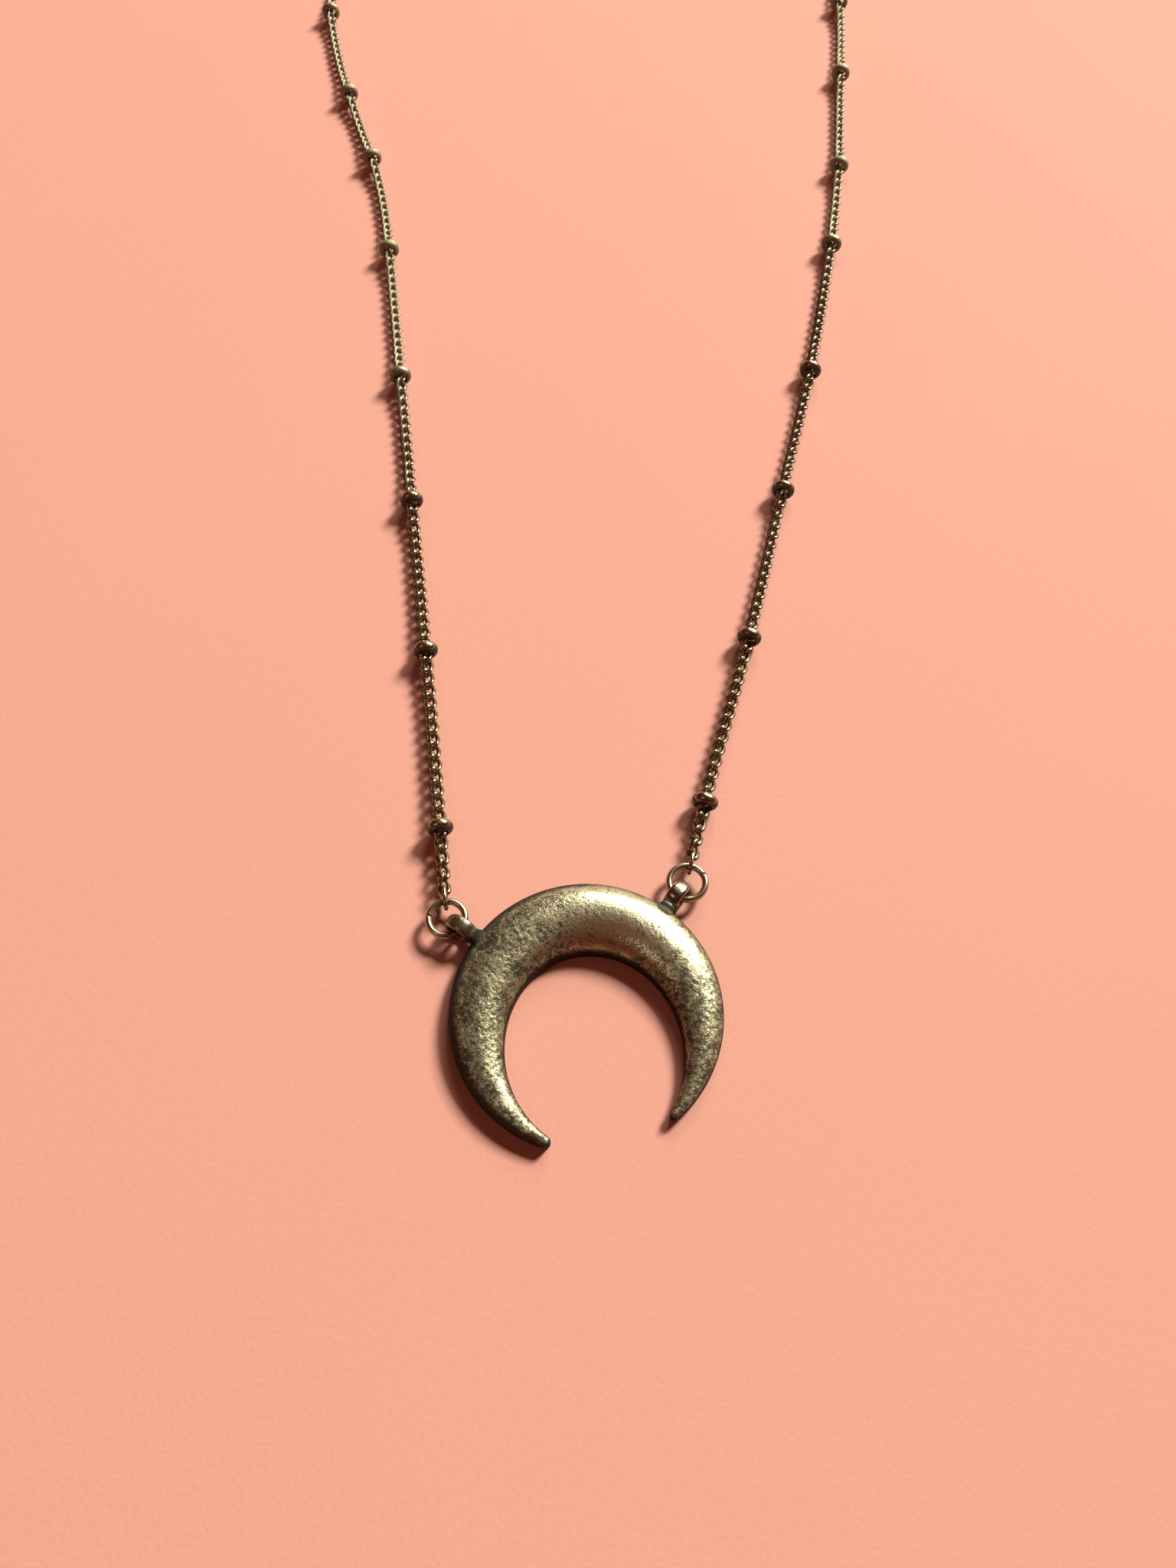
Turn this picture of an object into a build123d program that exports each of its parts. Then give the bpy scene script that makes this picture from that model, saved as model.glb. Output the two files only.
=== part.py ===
from build123d import *

import os
from math import cos, pi, radians, sin, sqrt, tan

# A crescent moon pendant held at its two eyes between the ends of a fine curb chain with
# small beads along it. The necklace is closed by a clasp and lies on a surface.
# Millimetres. The surface is Z = 0, +Z points up from it and +Y runs from the crescent to
# the clasp. The origin is the middle of the crescent's flat back at its widest place.

# Gap that the lowest round pieces keep from the surface
surface_gap = 0.02

# Crescent: a circle outside, an elliptical hollow that is open at the bottom, a flat back
# and a domed face over a low upright rim. The crown is its widest place, at the top, and
# the limbs are measured at the hollow's widest place
crescent_radius = 13.35
crown_width = 7.54
limb_width = 4.8
hollow_drop = 3.84
horn_angle = 144.5
crown_thickness = 3.2
crown_rim_height = 0.6
horn_rim_height = 0.95
crescent_turn = 11.7

# Its cross-sections stand on rays from a point below the circle's centre, and reach a
# little below the surface before the back is cut flat
section_drop = 2.6
section_count = 13
section_spare = 0.4

# Eyes cast on the crescent's edge, with their holes along the edge and a heavy outer end
left_eye_angle = -44.4
right_eye_angle = 49.4
eye_setback = 1.5
eye_hole_radius = 0.78
eye_wall = 0.61
eye_knob = 0.5
eye_width = 1.6
eye_corner = 0.5
stem_width = 1.2
stem_height = 1.7
stem_corner = 0.5
stem_root = 1.0

# Jump rings of round wire, each with a hairline slit where its ends meet
ring_wire = 0.7
ring_outside = 4.4
ring_slack = 0.12
ring_slit = 0.06

# Chain: the outline of the twisted links, and the real link at each end of a strand
chain_width = 1.5
link_length = 2.64
link_width = 1.66
link_wire = 0.44
link_clearance = 0.07
chain_start_gap = 0.35

# Beads on the chain
bead_diameter = 2.8
bead_length = 1.3
bead_end_diameter = 1.9
bead_clearance = 0.08

# Plain barrel clasp with an eye at each end
clasp_place = (3.1, 197.3)
clasp_turn = 3.0
clasp_diameter = 2.7
clasp_length = 7.0
clasp_edge = 0.4
clasp_seam_width = 0.25
clasp_seam_depth = 0.15
clasp_eye_hole_radius = 0.6
clasp_eye_wall = 0.4
clasp_eye_width = 0.6
clasp_eye_corner = 0.18
clasp_eye_bite = 0.3

# Where each strand lies on the surface, from its jump ring at the crescent to its jump
# ring at the clasp: corners of straight runs that are joined by arcs
left_route = [
    (-15.2, 25.5),
    (-19.9, 58.0),
    (-24.3, 90.0),
    (-27.6, 113.5),
    (-32.8, 129.5),
    (-37.4, 145.0),
    (-41.0, 163.5),
    (-37.5, 181.3),
    (-23.5, 193.3),
]
right_route = [
    (14.2, 12.9),
    (20.6, 34.1),
    (26.0, 56.2),
    (31.4, 76.8),
    (36.2, 100.0),
    (39.2, 118.0),
    (41.5, 140.0),
    (43.8, 160.5),
    (42.5, 180.0),
    (29.0, 193.5),
]

# Where the beads sit, measured along each strand from its jump ring at the crescent
left_bead_places = [10.1, 32.5, 54.9, 76.1, 101.1, 121.6, 138.2, 160.8, 182.5, 204.2]
right_bead_places = [9.6, 31.3, 53.9, 75.1, 100.2, 118.0, 140.6, 160.2, 181.9, 203.6]

# Worked out from the sizes above
arc_share = 0.45
chain_height = bead_diameter / 2 + surface_gap
ring_middle = (ring_outside - ring_wire) / 2
link_bend = (link_width - link_wire) / 2
link_straight = (link_length - link_width) / 2
chain_start = ring_outside / 2 + chain_start_gap + chain_width / 2
hollow_half_width = crescent_radius - limb_width
hollow_half_height = crescent_radius - crown_width + hollow_drop
back_middle = crescent_radius - crown_width / 2
turn = radians(crescent_turn)
across = Vector(cos(turn), sin(turn), 0)
upward = Vector(-sin(turn), cos(turn), 0)
crescent_centre = upward * -back_middle
up = Vector(0, 0, 1)


def ray(angle):
    """Direction at an angle from the crescent's top, clockwise as seen from above."""
    return across * sin(radians(angle)) + upward * cos(radians(angle))


def band_edges(angle):
    """Distances from the section point to the hollow's edge and to the outer edge."""
    side = sin(radians(angle))
    rise = cos(radians(angle))
    outer = section_drop * rise + sqrt(crescent_radius**2 - (section_drop * side) ** 2)
    above = hollow_drop - section_drop
    square = (side / hollow_half_width) ** 2 + (rise / hollow_half_height) ** 2
    slope = above * rise / hollow_half_height**2
    rest = (above / hollow_half_height) ** 2 - 1
    inner = (sqrt(slope**2 - square * rest) - slope) / square
    return inner, outer


def band_width(angle):
    """Width of the crescent's band on one ray."""
    inner, outer = band_edges(angle)
    return outer - inner


def band_swell(angle):
    """How far the band has widened on one ray: 0 at the horns and 1 at the top."""
    narrow = band_width(horn_angle)
    return (band_width(angle) - narrow) / (band_width(0) - narrow)


def rim_height(angle):
    """Height of the upright rim under the dome on one ray."""
    return horn_rim_height + (crown_rim_height - horn_rim_height) * band_swell(angle)


def dome_height(angle):
    """Height of the dome over the rim on one ray: as high as half its width at the horns."""
    horn_dome = band_width(horn_angle) / 2
    crown_dome = crown_thickness - crown_rim_height
    return horn_dome + (crown_dome - horn_dome) * band_swell(angle)


def section_plane(angle):
    """Upright plane along one ray, its origin under the middle of the band."""
    inner, outer = band_edges(angle)
    foot = crescent_centre - upward * section_drop + ray(angle) * (inner + outer) / 2
    return Plane(origin=foot, x_dir=ray(angle), z_dir=ray(angle).cross(up))


def eye_plane(place, outward):
    """Level plane through an eye's hole, its X away from what carries the eye."""
    return Plane(origin=place, x_dir=outward, z_dir=up)


def jump_ring(centre, outward):
    """Wire ring lying level, its slit on the side that outward points to."""
    level = Plane(origin=centre, x_dir=outward, z_dir=up)
    slit_angle = 360 * ring_slit / (2 * pi * ring_middle)
    with BuildPart() as ring:
        wire_plane = Plane(
            origin=level.origin + level.x_dir * ring_middle,
            x_dir=level.x_dir,
            z_dir=-level.y_dir,
        )
        with BuildSketch(wire_plane):
            Circle(ring_wire / 2)
        revolve(axis=Axis(centre, up), revolution_arc=360 - slit_angle)
    return ring


def corner_radii(points):
    """Radius of the arc at each corner, as large as the two runs that meet there allow."""
    radii = []
    for before, corner, after in zip(points, points[1:], points[2:]):
        run_in = corner - before
        run_out = after - corner
        half_turn = radians(run_in.get_angle(run_out)) / 2
        radii.append(arc_share * min(run_in.length, run_out.length) / tan(half_turn))
    return radii


def strand_points(first_ring, route, last_ring):
    """Corners of a strand: its route, with both ends just clear of the jump rings."""
    corners = [Vector(x, y, chain_height) for x, y in route]
    start = first_ring + (corners[0] - first_ring).normalized() * chain_start
    end = last_ring + (corners[-1] - last_ring).normalized() * chain_start
    return [start, *corners, end]


def end_link_plane(ring_centre, outward):
    """Upright plane of the link that is looped through a jump ring, at its middle."""
    near_wire = ring_middle - (ring_wire + link_wire) / 2 - link_clearance
    middle = near_wire + (link_length - link_wire) / 2
    return Plane(
        origin=ring_centre + outward * middle, x_dir=outward, z_dir=outward.cross(up)
    )


def bead(place, along):
    """Rounded bead with a bore that clears the chain."""
    bore = chain_width / 2 + bead_clearance
    half_length = bead_length / 2
    side_plane = Plane(origin=place, x_dir=along.cross(up), z_dir=up)
    with BuildPart() as piece:
        with BuildSketch(side_plane):
            with BuildLine():
                Polyline(
                    (bead_end_diameter / 2, -half_length),
                    (bore, -half_length),
                    (bore, half_length),
                    (bead_end_diameter / 2, half_length),
                )
                ThreePointArc(
                    (bead_end_diameter / 2, half_length),
                    (bead_diameter / 2, 0),
                    (bead_end_diameter / 2, -half_length),
                )
            make_face()
        revolve(axis=Axis(place, along))
    return piece


# Crescent: the band is lofted through its cross-sections, each horn ends in a round tip,
# and each eye is a thick upright loop on a short stem
with BuildPart() as crescent:
    for number in range(section_count):
        angle = horn_angle * (2 * number / (section_count - 1) - 1)
        half_width = band_width(angle) / 2
        with BuildSketch(section_plane(angle)):
            with BuildLine():
                Polyline(
                    (-half_width, rim_height(angle)),
                    (-half_width, -section_spare),
                    (half_width, -section_spare),
                    (half_width, rim_height(angle)),
                )
                EllipticalCenterArc(
                    (0, rim_height(angle)),
                    half_width,
                    dome_height(angle),
                    start_angle=0,
                    arc_size=180,
                )
            make_face()
    loft()
    for side in (-1, 1):
        tip_plane = section_plane(side * horn_angle)
        tip_radius = band_width(horn_angle) / 2
        with BuildSketch(tip_plane):
            with BuildLine():
                Polyline(
                    (0, horn_rim_height + tip_radius),
                    (0, -section_spare),
                    (tip_radius, -section_spare),
                    (tip_radius, horn_rim_height),
                )
                CenterArc((0, horn_rim_height), tip_radius, start_angle=0, arc_size=90)
            make_face()
        revolve(axis=Axis(tip_plane.origin, up * -side), revolution_arc=180)
    for eye_angle in (left_eye_angle, right_eye_angle):
        outward = ray(eye_angle)
        eye_reach = crescent_radius + eye_setback
        along = outward.cross(up)
        hole_middle = crescent_centre + outward * eye_reach + up * chain_height
        side_plane = Plane(origin=hole_middle, x_dir=outward, z_dir=along)
        with BuildSketch(side_plane.offset(-eye_width / 2)):
            with Locations((eye_knob / 2, 0)):
                SlotCenterToCenter(eye_knob, 2 * (eye_hole_radius + eye_wall))
        extrude(amount=eye_width)
        rims = crescent.edges(Select.LAST).filter_by(Axis(hole_middle, along), reverse=True)
        fillet(rims, eye_corner)
        with BuildSketch(side_plane.offset(-eye_width / 2)):
            Circle(eye_hole_radius)
        extrude(amount=eye_width, mode=Mode.SUBTRACT)
        stem_start = crescent_radius - stem_root
        stem_length = eye_reach - eye_hole_radius - eye_wall / 2 - stem_start
        stem_plane = Plane(
            origin=crescent_centre + outward * stem_start + up * chain_height,
            x_dir=along,
            z_dir=outward,
        )
        with BuildSketch(stem_plane):
            RectangleRounded(stem_width, stem_height, stem_corner)
        extrude(amount=stem_length)
    split(bisect_by=Plane.XY, keep=Keep.TOP)
crescent.part.label = "crescent"

# Jump rings through the crescent's eyes
ring_reach = crescent_radius + eye_setback + ring_slack + ring_middle
left_ring_place = crescent_centre + ray(left_eye_angle) * ring_reach + up * chain_height
right_ring_place = crescent_centre + ray(right_eye_angle) * ring_reach + up * chain_height
jump_ring_left = jump_ring(left_ring_place, -across)
jump_ring_left.part.label = "jump_ring_left"
jump_ring_right = jump_ring(right_ring_place, across)
jump_ring_right.part.label = "jump_ring_right"

# Barrel clasp: a round body with a seam round its middle and an upright eye at each end
clasp_along = Vector(cos(radians(clasp_turn)), sin(radians(clasp_turn)), 0)
clasp_centre = Vector(*clasp_place, chain_height)
clasp_body_plane = Plane(origin=clasp_centre, x_dir=up, z_dir=clasp_along)
clasp_eye_outside = clasp_eye_hole_radius + clasp_eye_wall
clasp_eye_reach = clasp_length / 2 + clasp_eye_outside - clasp_eye_bite
with BuildPart() as clasp:
    with BuildSketch(clasp_body_plane.offset(-clasp_length / 2)):
        Circle(clasp_diameter / 2)
    extrude(amount=clasp_length)
    fillet(clasp.edges().filter_by(GeomType.CIRCLE), clasp_edge)
    with BuildSketch(clasp_body_plane.offset(-clasp_seam_width / 2)):
        Circle(clasp_diameter)
        Circle(clasp_diameter / 2 - clasp_seam_depth, mode=Mode.SUBTRACT)
    extrude(amount=clasp_seam_width, mode=Mode.SUBTRACT)
    for side in (-1, 1):
        hole_plane = eye_plane(clasp_centre + clasp_along * side * clasp_eye_reach, clasp_along * side)
        with BuildSketch(hole_plane):
            with Locations((clasp_eye_hole_radius + clasp_eye_wall / 2, 0)):
                RectangleRounded(clasp_eye_wall, clasp_eye_width, clasp_eye_corner)
        revolve(axis=Axis(hole_plane.origin, hole_plane.y_dir))
clasp.part.label = "clasp"

# Jump rings through the clasp's eyes
clasp_ring_reach = clasp_eye_reach + ring_slack + ring_middle
clasp_left_ring_place = clasp_centre - clasp_along * clasp_ring_reach
clasp_right_ring_place = clasp_centre + clasp_along * clasp_ring_reach
clasp_ring_left = jump_ring(clasp_left_ring_place, clasp_left_ring_place.cross(up).normalized())
clasp_ring_left.part.label = "clasp_ring_left"
clasp_ring_right = jump_ring(clasp_right_ring_place, clasp_right_ring_place.cross(up).normalized())
clasp_ring_right.part.label = "clasp_ring_right"

# Strands: a tube of the chain's outline with a real link looped through each jump ring
strands = {}
paths = {}
for side_name, first_ring, route, last_ring in (
    ("left", left_ring_place, left_route, clasp_left_ring_place),
    ("right", right_ring_place, right_route, clasp_right_ring_place),
):
    points = strand_points(first_ring, route, last_ring)
    radii = corner_radii(points)
    with BuildPart() as strand:
        with BuildLine() as path:
            FilletPolyline(*points, radius=radii)
        with BuildSketch(Plane(origin=path.line @ 0, z_dir=path.line % 0)):
            Circle(chain_width / 2)
        sweep()
        with Locations(points[0], points[-1]):
            Sphere(chain_width / 2)
        for ring_place, outward in (
            (first_ring, (points[1] - first_ring).normalized()),
            (last_ring, (points[-2] - last_ring).normalized()),
        ):
            with BuildLine(end_link_plane(ring_place, outward)) as bow:
                Line((link_length / 2, link_bend), (-link_straight, link_bend))
                CenterArc((-link_straight, 0), link_bend, start_angle=90, arc_size=180)
                Line((-link_straight, -link_bend), (link_length / 2, -link_bend))
            with BuildSketch(Plane(origin=bow.line @ 0, z_dir=bow.line % 0)):
                Circle(link_wire / 2)
            sweep()
    strand.part.label = f"chain_{side_name}"
    strands[side_name] = strand
    paths[side_name] = path.wire()
    tube_volume = pi * (chain_width / 2) ** 2 * path.wire().length
    print(side_name, "strand length", round(path.wire().length, 1))
    print(side_name, "strand volume over tube volume", round(strand.part.volume / tube_volume, 3))
    print(side_name, "radii", [round(radius) for radius in radii])

# Beads along both strands, counted from the crescent
beads = {}
for side_name, bead_places in (("left", left_bead_places), ("right", right_bead_places)):
    path_wire = paths[side_name]
    for number, bead_place in enumerate(bead_places, start=1):
        place = path_wire.position_at(bead_place - chain_start, PositionMode.LENGTH)
        along = path_wire.tangent_at(bead_place - chain_start, PositionMode.LENGTH)
        name = f"station_bead_{side_name}_{number:02d}"
        beads[name] = bead(place, along)
        beads[name].part.label = name

os.makedirs("parts", exist_ok=True)
export_step(crescent.part, "parts/crescent.step")
export_step(jump_ring_left.part, "parts/jump_ring_left.step")
export_step(jump_ring_right.part, "parts/jump_ring_right.step")
export_step(clasp.part, "parts/clasp.step")
export_step(clasp_ring_left.part, "parts/clasp_ring_left.step")
export_step(clasp_ring_right.part, "parts/clasp_ring_right.step")
export_step(strands["left"].part, "parts/chain_left.step")
export_step(strands["right"].part, "parts/chain_right.step")
for name, piece in beads.items():
    export_step(piece.part, f"parts/{name}.step")
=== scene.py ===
import logging
from bisect import bisect_left
from dataclasses import dataclass, field
from enum import Enum
from math import asin, atan2, ceil, copysign, cos, hypot, pi, radians, sin, sqrt
from typing import NamedTuple

import bmesh
import bpy
from mathutils import Matrix, Vector


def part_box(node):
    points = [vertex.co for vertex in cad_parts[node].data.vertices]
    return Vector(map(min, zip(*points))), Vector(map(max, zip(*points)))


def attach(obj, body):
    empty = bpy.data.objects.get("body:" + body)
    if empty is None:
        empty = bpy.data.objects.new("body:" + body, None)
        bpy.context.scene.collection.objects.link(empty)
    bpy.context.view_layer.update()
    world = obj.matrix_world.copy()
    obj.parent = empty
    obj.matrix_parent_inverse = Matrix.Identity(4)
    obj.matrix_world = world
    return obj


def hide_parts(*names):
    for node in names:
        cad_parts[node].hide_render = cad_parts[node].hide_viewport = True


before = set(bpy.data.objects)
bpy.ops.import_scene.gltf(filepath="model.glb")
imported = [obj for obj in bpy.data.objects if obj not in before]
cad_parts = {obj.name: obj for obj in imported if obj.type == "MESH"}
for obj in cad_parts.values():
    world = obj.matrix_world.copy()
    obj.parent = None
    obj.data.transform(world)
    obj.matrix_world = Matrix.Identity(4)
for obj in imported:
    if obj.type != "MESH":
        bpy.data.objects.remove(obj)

# A crescent moon pendant on a fine curb chain with small beads, lying on peach paper.
# Metres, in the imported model's frame: the surface is Z = 0 and +Y runs from the crescent to
# the clasp.

LOG = logging.getLogger("necklace")
UP = Vector((0.0, 0.0, 1.0))
MM = 0.001
MERGE_DISTANCE = 0.001 * MM
NOISE_MIDDLE = 0.5
# The Mix node's colour sockets. Their names belong to its number sockets too.
MIX_SHARE, MIX_FIRST, MIX_SECOND, MIX_RESULT = 0, 6, 7, 2

Colour = tuple[float, float, float, float]


class Slot(Enum):
    """The record's material slots."""

    CRESCENT = "crescent"
    RING = "ring"
    CHAIN = "chain"
    BEAD = "bead"
    CLASP = "clasp"


class Side(Enum):
    """The strands' sides, as seen from above with the crescent in front."""

    LEFT = "left"
    RIGHT = "right"


class Field:
    """One value of a material that varies over the surface, usable in Python expressions."""

    def __init__(self, recipe: "Recipe", socket: bpy.types.NodeSocket) -> None:
        """Wraps an output socket of the recipe, which gets the nodes of each expression."""
        self.recipe = recipe
        self.socket = socket

    def __add__(self, other: "Field | float") -> "Field":
        """Sum of two values."""
        return self.recipe.maths("ADD", self, other)

    def __radd__(self, other: "Field | float") -> "Field":
        """Sum, with the number first."""
        return self.recipe.maths("ADD", other, self)

    def __sub__(self, other: "Field | float") -> "Field":
        """Difference of two values."""
        return self.recipe.maths("SUBTRACT", self, other)

    def __rsub__(self, other: "Field | float") -> "Field":
        """Difference, with the number first."""
        return self.recipe.maths("SUBTRACT", other, self)

    def __mul__(self, other: "Field | float") -> "Field":
        """Product of two values."""
        return self.recipe.maths("MULTIPLY", self, other)

    def __rmul__(self, other: "Field | float") -> "Field":
        """Product, with the number first."""
        return self.recipe.maths("MULTIPLY", other, self)

    def __or__(self, other: "Field") -> "Field":
        """Either of two masks: the larger value."""
        return self.recipe.maths("MAXIMUM", self, other)


class Recipe:
    """Node tree of one finish, written as expressions on fields."""

    def __init__(self, name: str) -> None:
        """Starts an empty material with one shader.

        Args:
            name: Name of the material.
        """
        self.material = bpy.data.materials.new(name)
        self.material.use_nodes = True
        self.tree = self.material.node_tree
        self.tree.nodes.clear()
        self.shader = self.node("ShaderNodeBsdfPrincipled")
        self.node("ShaderNodeOutputMaterial", values={"Surface": self.shader.outputs["BSDF"]})
        self.place = self.node("ShaderNodeTexCoord").outputs["Object"]

    def node(
        self,
        kind: str,
        settings: dict[str, object] | None = None,
        values: dict[str | int, object] | None = None,
    ) -> bpy.types.Node:
        """Adds a node.

        Args:
            kind: The node's type.
            settings: Its own settings, which are set before its sockets.
            values: What goes into its sockets: numbers, colours, sockets or fields.

        Returns:
            The new node.
        """
        node = self.tree.nodes.new(kind)
        for name, setting in (settings or {}).items():
            setattr(node, name, setting)
        for name, value in (values or {}).items():
            self.feed(node.inputs[name], value)
        return node

    def feed(self, entry: bpy.types.NodeSocket, value: object) -> None:
        """Gives a node's input its value.

        Args:
            entry: The input.
            value: A number, colour, socket or field.
        """
        if isinstance(value, Field):
            value = value.socket
        if isinstance(value, bpy.types.NodeSocket):
            self.tree.links.new(value, entry)
        else:
            entry.default_value = value

    def maths(self, operation: str, first: Field | float, second: Field | float) -> Field:
        """Result of one Math node on two values."""
        node = self.node("ShaderNodeMath", {"operation": operation}, {0: first, 1: second})
        return Field(self, node.outputs[0])

    def step(self, value: Field, low: float, high: float) -> Field:
        """Smooth step from 0 at the low value to 1 at the high one.

        Args:
            value: The value that is compared.
            low: Where the step starts.
            high: Where it ends.

        Returns:
            A mask from 0 to 1.
        """
        node = self.node(
            "ShaderNodeMapRange",
            {"interpolation_type": "SMOOTHSTEP"},
            {"Value": value, "From Min": low, "From Max": high},
        )
        return Field(self, node.outputs["Result"])

    def noise(self, grain: float, detail: float = 2.0, roughness: float = 0.5) -> Field:
        """Cloudy noise.

        Args:
            grain: Size of one cloud, in metres.
            detail: Number of finer layers.
            roughness: Strength of the finer layers.

        Returns:
            A value around NOISE_MIDDLE.
        """
        values = {"Vector": self.place, "Scale": 1 / grain}
        values.update(Detail=detail, Roughness=roughness)
        return Field(self, self.node("ShaderNodeTexNoise", values=values).outputs["Fac"])

    def height(self) -> Field:
        """Height over the surface, in metres."""
        node = self.node("ShaderNodeSeparateXYZ", values={"Vector": self.place})
        return Field(self, node.outputs["Z"])

    def facing_up(self) -> Field:
        """How far a face looks up.

        Returns:
            1 for straight up, 0 for sideways and -1 for down.
        """
        geometry = self.node("ShaderNodeNewGeometry")
        node = self.node("ShaderNodeSeparateXYZ", values={"Vector": geometry.outputs["Normal"]})
        return Field(self, node.outputs["Z"])

    def distance(self, point: Vector) -> Field:
        """Distance from one point, in metres.

        Args:
            point: The point.

        Returns:
            The distance.
        """
        away = self.node(
            "ShaderNodeVectorMath", {"operation": "DISTANCE"}, {0: self.place, 1: point}
        )
        return Field(self, away.outputs["Value"])

    def mix(self, share: Field, first: Field | Colour, second: Field | Colour) -> Field:
        """Mix of two colours.

        Args:
            share: Share of the second colour.
            first: Colour at 0.
            second: Colour at 1.

        Returns:
            The mixed colour.
        """
        values = {MIX_SHARE: share, MIX_FIRST: first, MIX_SECOND: second}
        node = self.node("ShaderNodeMix", {"data_type": "RGBA"}, values)
        return Field(self, node.outputs[MIX_RESULT])

    def bump(self, height: Field, depth: float, below: Field | None = None) -> Field:
        """Normal of a surface with relief.

        Args:
            height: The relief, 0 to 1.
            depth: Height that 1 stands for, in metres.
            below: Normal of the coarser relief underneath, if there is one.

        Returns:
            The new normal.
        """
        values = {"Height": height, "Distance": depth, "Strength": 1.0}
        if below is not None:
            values["Normal"] = below
        return Field(self, self.node("ShaderNodeBump", values=values).outputs["Normal"])

    def dress(self, **fields: object) -> bpy.types.Material:
        """Feeds the shader.

        Args:
            fields: Values by the shader's input names, with _ for a space.

        Returns:
            The finished material.
        """
        for name, value in fields.items():
            self.feed(self.shader.inputs[name.replace("_", " ")], value)
        return self.material


@dataclass(frozen=True)
class Mottle:
    """Patches where weighted noises add up: none at the low sum, full at the high one."""

    clouds: float
    flecks: float
    grains: float
    smooth: float
    low: float
    high: float

    def mask(
        self, recipe: Recipe, clouds: Field, flecks: Field, grains: Field, smooth: Field
    ) -> Field:
        """Makes the patches.

        Args:
            recipe: The material that gets them.
            clouds: Its coarse noise.
            flecks: Its middling noise.
            grains: Its fine noise.
            smooth: How much the metal is rubbed and painted with a highlight, from 0 to 1.

        Returns:
            A mask from 0 to 1.
        """
        coarse = clouds * self.clouds + flecks * self.flecks
        fine = grains * self.grains + smooth * self.smooth
        return recipe.step(coarse + fine, self.low, self.high)


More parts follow.
